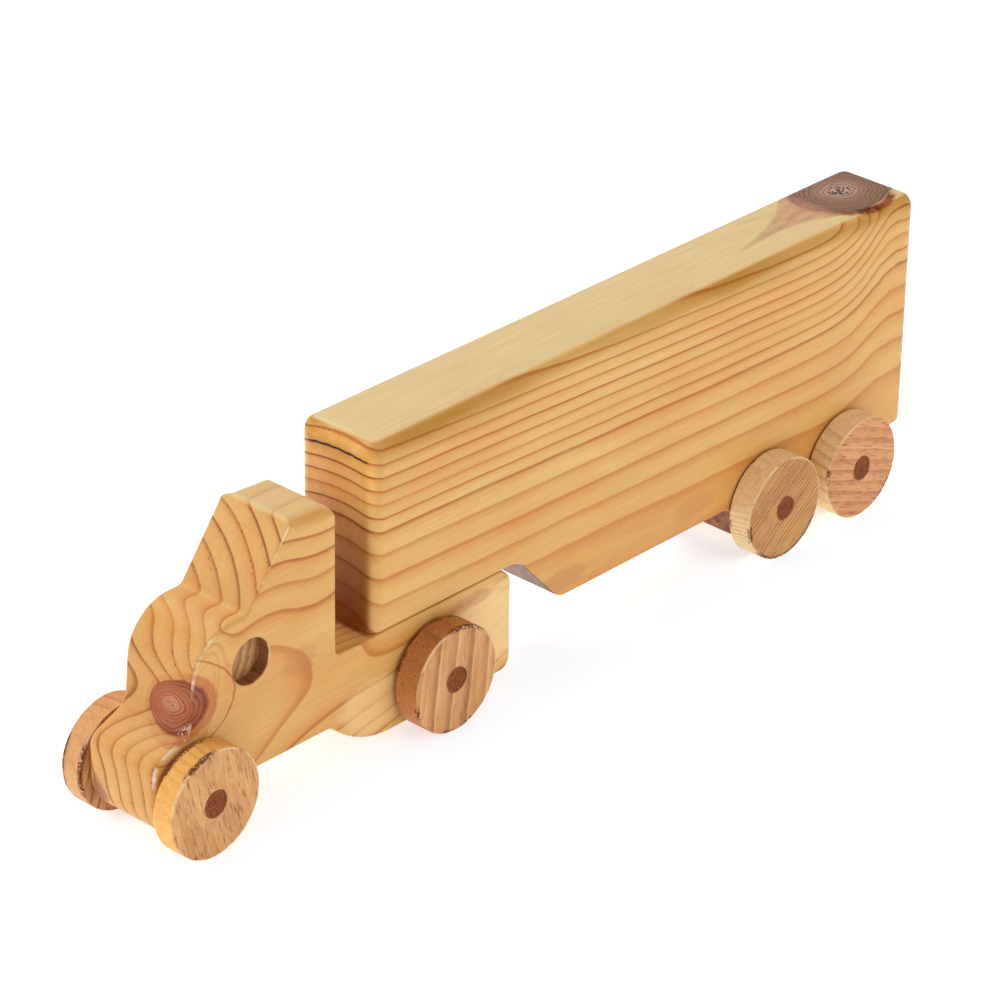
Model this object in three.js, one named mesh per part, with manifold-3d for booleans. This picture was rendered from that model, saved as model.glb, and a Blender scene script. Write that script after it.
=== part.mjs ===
// A toy articulated lorry cut from two solid blocks of softwood, with dowel axles and disc wheels.
//
// Frame: +X forward, +Y to the lorry's left, +Z up, in millimetres. Places along X are distances
// from the tail; the finished group is moved back so that the origin is on the ground, under the
// middle of the whole length. Both blocks are side outlines, sawn from a board and rounded over;
// the dowels turn in bores through the blocks and are glued into the wheels.
import * as THREE from "three";
import { mergeVertices } from "three/addons/utils/BufferGeometryUtils.js";
import Module from "manifold-3d";

// Driving dimensions.
const OVERALL_LENGTH = 489; // from the tail to the front of the front wheels

const TRAILER_LENGTH = 361;
const TRAILER_WIDTH = 45;
const TRAILER_TOP = 146.5;
const TRAILER_FLOOR = 28.8;
const NOSE_UNDERSIDE = 57.6; // the raised front of the trailer, over the tractor's bed
const BOGIE_BOTTOM = 7;

const BUMPER = 486;
const TRACTOR_WIDTH = 40;
const TRACTOR_BOTTOM = 5;
const CAB_BACK = 381;
const ROOF_FRONT = 129.2;
const ROOF_BACK = 127.5;
const HOOD_TOP = 95.5;
const BED_TOP = 55.2;
const BED_END = 273;
const BELLY = 21; // the notch in the underside, between the axles

const WHEEL_RADIUS = 25;
const DOWEL_RADIUS = 6;
const PIN_DEPTH = 17; // of the hitch pin in each block
const PIN_CHAMFER = 1.5;

const ROUNDOVER = 6.5; // the router's radius on the trailer's upright and top edges and on the roof
const EASE = 1; // the sanded edges that had no router on them
const SAWN_CORNER = 2;
const WHEEL_CHAMFER = 0.8;
const GLUE_GAP = 0.3; // around a dowel glued into a wheel
const RUNNING_GAP = 0.4; // around a dowel that turns
const PIN_SLACK = 0.3; // at each end of the hitch pin

const WINDOW = { x: 430.5, z: 73.2, radius: 10.5, depth: 6.5 };
const CLEAR = 20; // how far a cutting solid reaches past what it cuts

const ARC_STEPS = 3; // each rounded corner gets twice as many straight pieces
const ROUND_SIDES = 48;
const BORE_SIDES = 32;
const MERGE_DISTANCE = 1e-4;

// Each axle: its place along the lorry, its wheels' thickness and the clearance between each
// wheel and the block.
const TRACTOR_AXLES = [
  { name: "front", x: 464, thickness: 11, clearance: 2 },
  { name: "drive", x: 322.5, thickness: 12.5, clearance: 2 },
];
const TRAILER_AXLES = [
  { name: "trailer_front", x: 104, thickness: 12.5, clearance: 0.8 },
  { name: "trailer_rear", x: 48, thickness: 12.5, clearance: 0.8 },
];
const HITCH_X = TRACTOR_AXLES[1].x; // the hitch pin stands right over the drive axle

const X = new THREE.Vector3(1, 0, 0);
const Y = new THREE.Vector3(0, 1, 0);
const Z = new THREE.Vector3(0, 0, 1);

const WOOD = { body: 0xd9a860, wheel: 0xb97c4b, dowel: 0x6b3a22 };

const wasm = await Module();
wasm.setup();

/** A closed counter-clockwise outline with an arc of the given radius at each [u, v, radius]. */
function roundedOutline(corners) {
  const shape = new THREE.Shape();
  corners.forEach(([u, v, radius], i) => {
    const corner = new THREE.Vector2(u, v);
    const [back, ahead] = [corners.at(i - 1), corners[(i + 1) % corners.length]].map(([s, t]) =>
      new THREE.Vector2(s, t).sub(corner).normalize(),
    );
    const half = Math.acos(back.dot(ahead)) / 2;
    const reach = radius / Math.tan(half);
    const middle = back.clone().add(ahead).normalize();
    const centre = middle.multiplyScalar(radius / Math.sin(half)).add(corner);
    const [from, to] = [back, ahead].map((way) =>
      way.clone().multiplyScalar(reach).add(corner).sub(centre).angle(),
    );
    shape.absarc(centre.x, centre.y, radius, from, to, back.cross(ahead) > 0);
  });
  return shape;
}

/** A solid with the outline in the plane of axes u and v, centred across it, its edges eased. */
function extruded(corners, u, v, depth, ease = 0) {
  const geometry = new THREE.ExtrudeGeometry(roundedOutline(corners), {
    depth: depth - 2 * ease,
    bevelEnabled: ease > 0,
    bevelThickness: ease,
    bevelSize: ease,
    bevelOffset: -ease,
    bevelSegments: 1,
    curveSegments: ARC_STEPS,
  });
  geometry.translate(0, 0, ease - depth / 2);
  const across = new THREE.Vector3().crossVectors(u, v);
  geometry.applyMatrix4(new THREE.Matrix4().makeBasis(u, v, across));
  return solidOf(geometry);
}

function solidOf(geometry) {
  const bare = geometry.clone();
  bare.deleteAttribute("normal");
  bare.deleteAttribute("uv");
  const merged = mergeVertices(bare, MERGE_DISTANCE);
  return new wasm.Manifold(
    new wasm.Mesh({
      numProp: 3,
      vertProperties: merged.attributes.position.array,
      triVerts: new Uint32Array(merged.index.array),
    }),
  );
}

function geometryOf(solid) {
  const { numProp, vertProperties, triVerts } = solid.getMesh();
  const geometry = new THREE.BufferGeometry();
  geometry.setAttribute("position", new THREE.BufferAttribute(vertProperties, numProp));
  geometry.setIndex(new THREE.BufferAttribute(triVerts, 1));
  geometry.computeVertexNormals();
  return geometry;
}

/** Keeps what lies under an arch as wide as the block, so that its two top edges are rounded. */
function roundTopEdges(solid, width, top) {
  const half = width / 2;
  const arch = [
    [-half, -CLEAR, EASE],
    [half, -CLEAR, EASE],
    [half, top, ROUNDOVER],
    [-half, top, ROUNDOVER],
  ];
  return solid.intersect(extruded(arch, Y, Z, 2 * OVERALL_LENGTH));
}

/** Keeps what lies inside a rounded rectangle seen from above, so the upright edges are rounded. */
function roundUprightEdges(solid, width, length) {
  const half = width / 2;
  const plan = [
    [0, -half, ROUNDOVER],
    [length, -half, ROUNDOVER],
    [length, half, ROUNDOVER],
    [0, half, ROUNDOVER],
  ];
  return solid.intersect(extruded(plan, X, Y, 2 * TRAILER_TOP + CLEAR));
}

/** A hole across the lorry for a dowel that turns in it. */
function axleBore({ x }) {
  const radius = DOWEL_RADIUS + RUNNING_GAP;
  const bore = new THREE.CylinderGeometry(radius, radius, TRAILER_WIDTH + CLEAR, BORE_SIDES);
  bore.translate(x, 0, WHEEL_RADIUS);
  return solidOf(bore);
}

/** An upright hole for the hitch pin. */
function pinHole(bottom, top) {
  const radius = DOWEL_RADIUS + RUNNING_GAP;
  const hole = new THREE.CylinderGeometry(radius, radius, top - bottom, BORE_SIDES);
  hole.rotateX(Math.PI / 2);
  hole.translate(HITCH_X, 0, (top + bottom) / 2);
  return solidOf(hole);
}

/** A shallow flat-bottomed recess for the cab's side window. */
function windowRecess(side) {
  const length = WINDOW.depth + CLEAR;
  const drill = new THREE.CylinderGeometry(WINDOW.radius, WINDOW.radius, length, ROUND_SIDES);
  drill.translate(WINDOW.x, side * (TRACTOR_WIDTH / 2 - WINDOW.depth + length / 2), WINDOW.z);
  return solidOf(drill);
}

/** Cab, hood, bumper and bed in one block. */
function tractorBody() {
  const outline = [
    [BED_END, TRACTOR_BOTTOM, 6],
    [364, TRACTOR_BOTTOM, 45], // the curve up to the belly
    [384.5, BELLY, 6],
    [434, BELLY, 6],
    [449, TRACTOR_BOTTOM, 7],
    [BUMPER, TRACTOR_BOTTOM, 22], // the chin
    [BUMPER, 45.5, 8], // the bumper's top
    [465.5, 54, 9], // the hollow between the bumper and the hood
    [462, HOOD_TOP, 24],
    [432, HOOD_TOP, 5], // the foot of the windshield
    [406.9, ROOF_FRONT, 5],
    [CAB_BACK, ROOF_BACK, ROUNDOVER],
    [CAB_BACK, BED_TOP, 3],
    [BED_END, BED_TOP, 8],
  ];
  const block = extruded(outline, X, Z, TRACTOR_WIDTH, EASE);
  const rounded = roundTopEdges(block, TRACTOR_WIDTH, ROOF_FRONT);
  const holes = [
    ...TRACTOR_AXLES.map(axleBore),
    pinHole(BED_TOP - PIN_DEPTH, BED_TOP + CLEAR),
    windowRecess(1),
    windowRecess(-1),
  ];
  return geometryOf(holes.reduce((rest, hole) => rest.subtract(hole), rounded));
}

/** The box trailer in one block, raised at the front and deeper around its two axles. */
function trailerBody() {
  const outline = [
    [0, TRAILER_FLOOR, 9],
    [21, TRAILER_FLOOR, 6], // the bogie's lobe, as far as [129, TRAILER_FLOOR]
    [33, BOGIE_BOTTOM, 8],
    [117, BOGIE_BOTTOM, 8],
    [129, TRAILER_FLOOR, 6],
    [244, TRAILER_FLOOR, 12], // the step up to the nose
    [270.7, NOSE_UNDERSIDE, 14],
    [TRAILER_LENGTH, NOSE_UNDERSIDE, SAWN_CORNER],
    [TRAILER_LENGTH, TRAILER_TOP, ROUNDOVER],
    [0, TRAILER_TOP, ROUNDOVER],
  ];
  const block = extruded(outline, X, Z, TRAILER_WIDTH, EASE);
  const topRounded = roundTopEdges(block, TRAILER_WIDTH, TRAILER_TOP);
  const rounded = roundUprightEdges(topRounded, TRAILER_WIDTH, TRAILER_LENGTH);
  const holes = [
    ...TRAILER_AXLES.map(axleBore),
    pinHole(NOSE_UNDERSIDE - CLEAR, NOSE_UNDERSIDE + PIN_DEPTH),
  ];
  return geometryOf(holes.reduce((rest, hole) => rest.subtract(hole), rounded));
}

/** A ring turned from a [radius, height] section that closes on itself, its axis along +Y. */
function turned(section, sides) {
  const closed = [...section, section[0]].map(([radius, height]) => new THREE.Vector2(radius, height));
  return new THREE.LatheGeometry(closed, sides);
}

/** A flat disc with lightly chamfered rims and a hole for the axle. */
function wheel(thickness) {
  const half = thickness / 2;
  const hole = DOWEL_RADIUS + GLUE_GAP;
  const rim = WHEEL_RADIUS - WHEEL_CHAMFER;
  const section = [
    [hole, -half],
    [rim, -half],
    [WHEEL_RADIUS, WHEEL_CHAMFER - half],
    [WHEEL_RADIUS, half - WHEEL_CHAMFER],
    [rim, half],
    [hole, half],
  ];
  return turned(section, ROUND_SIDES);
}

/** The dowel between the two blocks, its ends chamfered so that the trailer drops on to it easily. */
function hitchPin() {
  const bottom = BED_TOP - PIN_DEPTH + PIN_SLACK;
  const top = NOSE_UNDERSIDE + PIN_DEPTH - PIN_SLACK;
  const half = (top - bottom) / 2;
  const tip = DOWEL_RADIUS - PIN_CHAMFER;
  const outline = [
    [0, -half],
    [tip, -half],
    [DOWEL_RADIUS, PIN_CHAMFER - half],
    [DOWEL_RADIUS, half - PIN_CHAMFER],
    [tip, half],
    [0, half],
  ];
  const points = outline.map(([radius, height]) => new THREE.Vector2(radius, height));
  const pin = new THREE.LatheGeometry(points, BORE_SIDES);
  pin.rotateX(Math.PI / 2);
  pin.translate(HITCH_X, 0, (top + bottom) / 2);
  return pin;
}

function piece(name, geometry, color, roughness) {
  const mesh = new THREE.Mesh(
    geometry,
    new THREE.MeshStandardMaterial({ color, roughness, metalness: 0 }),
  );
  mesh.name = name;
  return mesh;
}

/** A dowel with a wheel on each end, flush with the wheels' outer faces. */
function wheelSet({ name, x, thickness, clearance }, blockWidth) {
  const outerFace = blockWidth / 2 + clearance + thickness;
  const set = new THREE.Group();
  const dowel = new THREE.CylinderGeometry(DOWEL_RADIUS, DOWEL_RADIUS, 2 * outerFace, BORE_SIDES);
  set.add(piece(`${name}_axle_dowel`, dowel, WOOD.dowel, 0.7));
  for (const [side, direction] of [["left", 1], ["right", -1]]) {
    const disc = piece(`${name}_${side}_wheel`, wheel(thickness), WOOD.wheel, 0.75);
    disc.position.y = direction * (outerFace - thickness / 2);
    set.add(disc);
  }
  set.position.set(x, 0, WHEEL_RADIUS);
  return set;
}

const lorry = new THREE.Group();
lorry.add(piece("tractor_body", tractorBody(), WOOD.body, 0.5));
lorry.add(piece("trailer_body", trailerBody(), WOOD.body, 0.5));
lorry.add(piece("hitch_pin", hitchPin(), WOOD.dowel, 0.7));
TRACTOR_AXLES.forEach((axle) => lorry.add(wheelSet(axle, TRACTOR_WIDTH)));
TRAILER_AXLES.forEach((axle) => lorry.add(wheelSet(axle, TRAILER_WIDTH)));
lorry.position.x = -OVERALL_LENGTH / 2;

export default lorry;
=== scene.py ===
"""A wooden toy articulated lorry: finely rounded blocks, rough-sawn wheels and knotty pine."""

import math
from collections import namedtuple

import bmesh
import bpy
from mathutils import Matrix, Vector, noise


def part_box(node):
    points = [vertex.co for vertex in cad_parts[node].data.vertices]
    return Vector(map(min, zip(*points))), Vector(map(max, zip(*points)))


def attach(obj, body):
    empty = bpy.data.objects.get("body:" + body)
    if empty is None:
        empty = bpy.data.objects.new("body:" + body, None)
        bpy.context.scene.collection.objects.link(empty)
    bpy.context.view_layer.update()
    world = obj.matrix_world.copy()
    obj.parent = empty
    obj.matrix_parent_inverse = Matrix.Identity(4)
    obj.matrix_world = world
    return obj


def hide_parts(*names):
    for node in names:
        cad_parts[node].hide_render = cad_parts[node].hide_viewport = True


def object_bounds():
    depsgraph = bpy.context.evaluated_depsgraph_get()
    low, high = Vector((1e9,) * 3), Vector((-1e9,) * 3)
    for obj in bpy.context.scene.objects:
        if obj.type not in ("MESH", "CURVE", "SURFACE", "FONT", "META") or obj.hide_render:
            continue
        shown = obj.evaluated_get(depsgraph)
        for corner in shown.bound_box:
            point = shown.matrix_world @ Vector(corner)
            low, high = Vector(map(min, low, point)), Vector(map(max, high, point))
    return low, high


MM = 0.001

# The blocks' side outlines, in millimetres along from the tail and up from the ground. A corner
# has the radius of its arc, and the radius of the edges along the stretch that follows it.
Corner = namedtuple("Corner", "u v arc edge")

CRISP = 1.1
ROUNDOVER = 6.5

TRACTOR_WIDTH = 40.0
TRACTOR_OUTLINE = [
    Corner(273, 5, 6, CRISP),
    Corner(364, 5, 45, CRISP),
    Corner(384.5, 21, 6, CRISP),
    Corner(434, 21, 6, CRISP),
    Corner(449, 5, 7, 2.0),
    Corner(486, 5, 22, 3.2),
    Corner(486, 45.5, 8, 3.6),
    Corner(465.5, 54, 9, 2.4),
    Corner(462, 95.5, 24, 2.2),
    Corner(432, 95.5, 5, 1.2),
    Corner(406.9, 129.2, 5, ROUNDOVER),
    Corner(381, 127.5, 7, CRISP),
    Corner(381, 55.2, 3, CRISP),
    Corner(273, 55.2, 8, CRISP),
]

TRAILER_LENGTH = 361.0
TRAILER_WIDTH = 45.0
TRAILER_TOP = 146.5
PAST = 8.0  # how far a cutter, or the trailer's rough outline, runs past the finished face
TRAILER_OUTLINE = [
    Corner(-0.5, 28.8, 9.5, CRISP),
    Corner(21, 28.8, 6, CRISP),
    Corner(33, 7, 8, CRISP),
    Corner(117, 7, 8, CRISP),
    Corner(129, 28.8, 6, CRISP),
    Corner(244, 28.8, 12, CRISP),
    Corner(270.7, 57.6, 14, CRISP),
    Corner(TRAILER_LENGTH + PAST, 57.6, 2, CRISP),
    Corner(TRAILER_LENGTH + PAST, TRAILER_TOP + PAST, 2, CRISP),
    Corner(-0.5, TRAILER_TOP + PAST, 2, CRISP),
]
PLANED = 0.02  # the planed box is this much wider each side, so that no two faces coincide
PLAN_ARC = ROUNDOVER + 0.5  # the planed box's upright corners, a little over its edge radius

BORE_RADIUS = 6.4
DOWEL_RADIUS = 6.0
WINDOW = {"u": 430.5, "v": 73.2, "radius": 10.5, "depth": 6.5, "rim": 0.5}
PIN_DEPTH = 17.0
BED_TOP = 55.2
NOSE_UNDERSIDE = 57.6
AXLES = ("front", "drive", "trailer_front", "trailer_rear")

# Small unevenness that plain CAD shapes lack, in millimetres.
DOWEL_EASE = 0.5
DOWEL_PROUD = 0.1  # each axle dowel stands this much further out than in the CAD
GLUE_GAP = 0.05
RIM_WEAR = 0.55  # the rounding of a wheel's rim, and how much it varies and chips
RIM_WEAR_SPREAD = 0.35
RIM_CHIP = 1.6
RIM_OUT_OF_ROUND = 0.06
FACE_WAVE = 0.05

# How finely the meshes are divided.
ARC_STEP = math.radians(6)
EDGE_ROWS = 9
BORE_SIDES = 72
WHEEL_SIDES = 180
WHEEL_FACE_ROWS = 7
WHEEL_EDGE_ROWS = 4
SMOOTH_ANGLE = math.radians(32)  # faces that meet at less than this are shaded as one

SEED_STEP = 3.7  # how far one wheel's noise lies from the next wheel's

# The camera, on the lorry's left and ahead of it.
CAMERA_AZIMUTH = math.radians(132.45)
CAMERA_ELEVATION = math.radians(28.22)
CAMERA_ROLL = math.radians(0.96)
CAMERA_DISTANCE = 1.99466
CAMERA_AIM = (0.01456, 0, 0.07522)
CAMERA_LENS = 164.28
CAMERA_SENSOR = 36

# The studio, in metres and watts: a wide floor, a white world and three square softboxes.
FLOOR_REACH = 6.0
WORLD_STRENGTH = 0.42
Softbox = namedtuple("Softbox", "place size power")
SOFTBOXES = {
    "over": Softbox((-0.2, -1.0, 2.0), 1.6, 24),
    "front": Softbox((1.7, -1.2, 1.0), 1.2, 17),
    "left": Softbox((-0.4, 2.0, 0.9), 1.2, 11.7),
}


def srgb(red, green, blue):
    """A colour from 0 to 255 as the linear values that shaders take."""
    shares = [value / 255 for value in (red, green, blue)]
    return tuple(s / 12.92 if s < 0.04045 else ((s + 0.055) / 1.055) ** 2.4 for s in shares)


# -------------------------------- meshes


def rounded(corners):
    """The outline's points as (u, v, normal, edge radius), its corners replaced by arcs."""
    points = []
    for i, corner in enumerate(corners):
        before = corners[i - 1]
        after = corners[(i + 1) % len(corners)]
        middle = Vector((corner.u, corner.v))
        back = (Vector((before.u, before.v)) - middle).normalized()
        ahead = (Vector((after.u, after.v)) - middle).normalized()
        half = back.angle(ahead) / 2
        centre = middle + (back + ahead).normalized() * corner.arc / math.sin(half)
        reach = corner.arc / math.tan(half)
        start = middle + back * reach - centre
        turn = math.pi - 2 * half
        outward = 1 if back.x * ahead.y - back.y * ahead.x < 0 else -1
        steps = max(3, math.ceil(turn / ARC_STEP))
        for step in range(steps + 1):
            share = step / steps
            arm = Matrix.Rotation(outward * turn * share, 2) @ start
            smooth = share * share * (3 - 2 * share)
            edge = before.edge + (corner.edge - before.edge) * smooth
            point = centre + arm
            points.append((point, arm.normalized() * outward, edge))
    return points


def block(corners, low, high, place):
    """A solid between two depths, both its outlines rounded over by each stretch's edge radius."""
    outline = rounded(corners)
    rows = []
    for depth, side in ((low, -1), (high, 1)):
        angles = [math.pi / 2 * row / EDGE_ROWS for row in range(EDGE_ROWS + 1)]
        for angle in angles if side > 0 else reversed(angles):
            rows.append([
                place(*(point - normal * edge * (1 - math.cos(angle))),
                      depth - side * edge * (1 - math.sin(angle)))
                for point, normal, edge in outline
            ])
    count = len(outline)
    vertices = [vertex for row in rows for vertex in row]
    faces = []
    for row in range(len(rows) - 1):
        for i in range(count):
            j = (i + 1) % count
            first, second = row * count, (row + 1) * count
            faces.append((first + i, first + j, second + j, second + i))
    faces.append(tuple(reversed(range(count))))
    faces.append(tuple(range(len(vertices) - count, len(vertices))))
    return mesh_object("block", vertices, faces)


def along_side(u, v, depth):
    """Places an outline in the lorry's side view, with its depth across."""
    return (u, depth, v)


def seen_from_above(u, v, depth):
    """Places an outline in plan, with its depth upwards."""
    return (u, v, depth)


def turned(profile, sides, place):
    """A solid of revolution whose [radius, height] profile starts and ends on the axis."""
    vertices = [place(0, 0, profile[0][1])]
    for radius, height in profile[1:-1]:
        for side in range(sides):
            angle = 2 * math.pi * side / sides
            vertices.append(place(radius * math.cos(angle), radius * math.sin(angle), height))
    vertices.append(place(0, 0, profile[-1][1]))
    last = len(vertices) - 1
    faces = []
    for side in range(sides):
        following = (side + 1) % sides
        faces.append((0, 1 + following, 1 + side))
        for ring in range(len(profile) - 3):
            first, second = 1 + ring * sides, 1 + (ring + 1) * sides
            faces.append((first + side, first + following, second + following, second + side))
        top = last - sides
        faces.append((last, top + side, top + following))
    return mesh_object("turned", vertices, faces)


def across(centre_u, centre_v):
    """Places a turned solid's axis across the lorry."""
    return lambda a, b, height: (centre_u + b, height, centre_v + a)


def upright(centre_u, base=0):
    """Places a turned solid's axis upright on the lorry's centreline."""
    return lambda a, b, height: (centre_u + a, b, height + base)


def mesh_object(name, vertices, faces):
    """Vertices in millimetres from the tail become an object in the frame's metres."""
    mesh = bpy.data.meshes.new(name)
    mesh.from_pydata([((x + TAIL) * MM, y * MM, z * MM) for x, y, z in vertices], [], faces)
    face_out(mesh)
    made = bpy.data.objects.new(name, mesh)
    bpy.context.scene.collection.objects.link(made)
    return made


def face_out(mesh):
    """Turns every face of a closed mesh outwards."""
    work = bmesh.new()
    work.from_mesh(mesh)
    bmesh.ops.recalc_face_normals(work, faces=work.faces)
    work.to_mesh(mesh)
    work.free()


def apply_modifiers(made):
    """Bakes an object's modifiers into its mesh."""
    graph = bpy.context.evaluated_depsgraph_get()
    mesh = bpy.data.meshes.new_from_object(made.evaluated_get(graph))
    made.modifiers.clear()
    made.data = mesh


def cut(solid, tools, operation="DIFFERENCE"):
    """Cuts a solid with other solids, which are used up."""
    for tool in tools:
        boolean = solid.modifiers.new("cut", "BOOLEAN")
        boolean.operation = operation
        boolean.solver = "EXACT"
        boolean.object = tool
    apply_modifiers(solid)
    for tool in tools:
        bpy.data.objects.remove(tool)


def finish_piece(made, name, body, node, material):
    """Smooths, names and paints a piece, and puts it in the CAD node's place."""
    made.name = name
    made.data.name = name
    made.data.polygons.foreach_set("use_smooth", [True] * len(made.data.polygons))
    made.data.set_sharp_from_angle(angle=SMOOTH_ANGLE)
    weighted = made.modifiers.new("weighted normals", "WEIGHTED_NORMAL")
    weighted.keep_sharp = True
    made.data.materials.clear()
    made.data.materials.append(material)
    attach(made, body)
    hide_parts(node)


def axle_bore(u, v):
    """A drill that goes right across either block."""
    length = TRAILER_WIDTH
    profile = [(0, -length), (BORE_RADIUS, -length), (BORE_RADIUS, length), (0, length)]
    return turned(profile, BORE_SIDES, across(u, v))


def pin_hole(u, bottom, top):
    """A drill for the hitch pin's upright hole."""
    profile = [(0, bottom), (BORE_RADIUS, bottom), (BORE_RADIUS, top), (0, top)]
    return turned(profile, BORE_SIDES, upright(u))


def window_cutter(side):
    """A flat-bottomed drill with a short flare that eases the recess's rim."""
    radius, rim = WINDOW["radius"], WINDOW["rim"]
    face = TRACTOR_WIDTH / 2
    outside = face + PAST
    depths = [
        (0, face - WINDOW["depth"]),
        (radius, face - WINDOW["depth"]),
        (radius, face - rim),
        (radius + rim, face + rim / 4),
        (radius + rim, outside),
        (0, outside),
    ]
    if side < 0:
        depths = [(reach, -depth) for reach, depth in reversed(depths)]
    return turned(depths, BORE_SIDES, across(WINDOW["u"], WINDOW["v"]))


def tractor_block(axles, hitch):
    """Cab, hood, bumper and bed in one block."""
    half = TRACTOR_WIDTH / 2
    solid = block(TRACTOR_OUTLINE, -half, half, along_side)
    tools = [axle_bore(*axle) for axle in axles]
    tools.append(pin_hole(hitch, BED_TOP - PIN_DEPTH, BED_TOP + PAST))
    tools.extend(window_cutter(side) for side in (1, -1))
    cut(solid, tools)
    return solid


def trailer_block(axles, hitch):
    """The box trailer: its sawn outline inside a planed and rounded box."""
    half = TRAILER_WIDTH / 2
    solid = block(TRAILER_OUTLINE, -half, half, along_side)
    wide = half + PLANED
    plan = [
        Corner(u, v, PLAN_ARC, ROUNDOVER)
        for u, v in ((0, -wide), (TRAILER_LENGTH, -wide), (TRAILER_LENGTH, wide), (0, wide))
    ]
    below_ground = -4 * PAST
    cut(solid, [block(plan, below_ground, TRAILER_TOP, seen_from_above)], "INTERSECT")
    tools = [axle_bore(*axle) for axle in axles]
    tools.append(pin_hole(hitch, NOSE_UNDERSIDE - PAST, NOSE_UNDERSIDE + PIN_DEPTH))
    cut(solid, tools)
    return solid


def dowel(half_length, place):
    """A dowel with lightly sanded ends."""
    profile = [
        (0, -half_length),
        (DOWEL_RADIUS - DOWEL_EASE, -half_length),
        (DOWEL_RADIUS, DOWEL_EASE - half_length),
        (DOWEL_RADIUS, half_length - DOWEL_EASE),
        (DOWEL_RADIUS - DOWEL_EASE, half_length),
        (0, half_length),
    ]
    return turned(profile, BORE_SIDES, place)


def wheel_half_section(direction, face, radius, half, seed):
    """One face of a wheel and its worn edge as (reach, depth) points, from the hole outwards."""
    hole = DOWEL_RADIUS + GLUE_GAP
    spot = direction * 2.2 + Vector((seed, 7 * face, 0))
    wear = RIM_WEAR + RIM_WEAR_SPREAD * noise.noise(spot)
    chip = max(0, noise.noise(direction * 9 + Vector((seed, 3 * face, 5))) - 0.3)
    ease = wear + RIM_CHIP * chip
    rim = radius + RIM_OUT_OF_ROUND * noise.noise(spot * 1.3)
    points = []
    for row in range(WHEEL_FACE_ROWS):
        reach = hole + (rim - ease - hole) * row / WHEEL_FACE_ROWS
        points.append((reach, face * half))
    for row in range(WHEEL_EDGE_ROWS + 1):
        bend = math.pi / 2 * row / WHEEL_EDGE_ROWS
        reach = rim - ease * (1 - math.sin(bend))
        points.append((reach, face * (half - ease * (1 - math.cos(bend)))))
    return points


def wheel_disc(centre, radius, thickness, seed):
    """A disc sawn by hand: flat faces, and a rim that wears and chips unevenly."""
    half = thickness / 2
    vertices = []
    for side in range(WHEEL_SIDES):
        angle = 2 * math.pi * side / WHEEL_SIDES
        direction = Vector((math.sin(angle), 0, math.cos(angle)))
        section = wheel_half_section(direction, -1, radius, half, seed)
        section.extend(reversed(wheel_half_section(direction, 1, radius, half, seed)))
        for reach, depth in section:
            place = direction * reach * 0.12 + Vector((0, depth, seed))
            vertices.append((
                centre[0] + reach * direction.x,
                centre[1] + depth + FACE_WAVE * noise.noise(place),
                centre[2] + reach * direction.z,
            ))
    count = len(section)
    faces = []
    for side in range(WHEEL_SIDES):
        first = side * count
        second = (side + 1) % WHEEL_SIDES * count
        for row in range(count):
            following = (row + 1) % count
            faces.append((first + row, second + row, second + following, first + following))
    return mesh_object("disc", vertices, faces)


# -------------------------------- shader arithmetic

SHEEN = 0.16  # oiled wood reflects little besides its thin coat
COAT_ROUGHNESS = 0.25


class Field:
    """A value over a material's surface. Each sum on it adds one node to the material."""

    def __init__(self, tree, socket):
        self.tree = tree
        self.socket = socket

    def math(self, operation, *others):
        """A Math node's result, with this value first."""
        node = self.tree.nodes.new("ShaderNodeMath")
        node.operation = operation
        fill(self.tree, node.inputs, (self, *others))
        return Field(self.tree, node.outputs[0])

    def __add__(self, other):
        return self.math("ADD", other)

    def __sub__(self, other):
        return self.math("SUBTRACT", other)

    def __mul__(self, other):
        return self.math("MULTIPLY", other)

    def __truediv__(self, other):
        return self.math("DIVIDE", other)

    def __pow__(self, exponent):
        return self.math("POWER", exponent)

    def __neg__(self):
        return self * -1

    def complement(self):
        """One minus the value."""
        return self * -1 + 1

    def length_with(self, other):
        """The length of a vector with this value and another at right angles."""
        return (self * self + other * other).math("SQRT")

    def ramp(self, low, high):
        """Rises smoothly from 0 at low to 1 at high, or falls where low is above high."""
        node = self.tree.nodes.new("ShaderNodeMapRange")
        node.interpolation_type = "SMOOTHSTEP"
        fill(self.tree, node.inputs, (self, low, high))
        return Field(self.tree, node.outputs[0])


def fill(tree, sockets, values):
    """Links fields to a node's sockets, and sets constants on them."""
    for socket, value in zip(sockets, values):
        if isinstance(value, Field):
            tree.links.new(value.socket, socket)
        elif value is not None:
            socket.default_value = value


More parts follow.
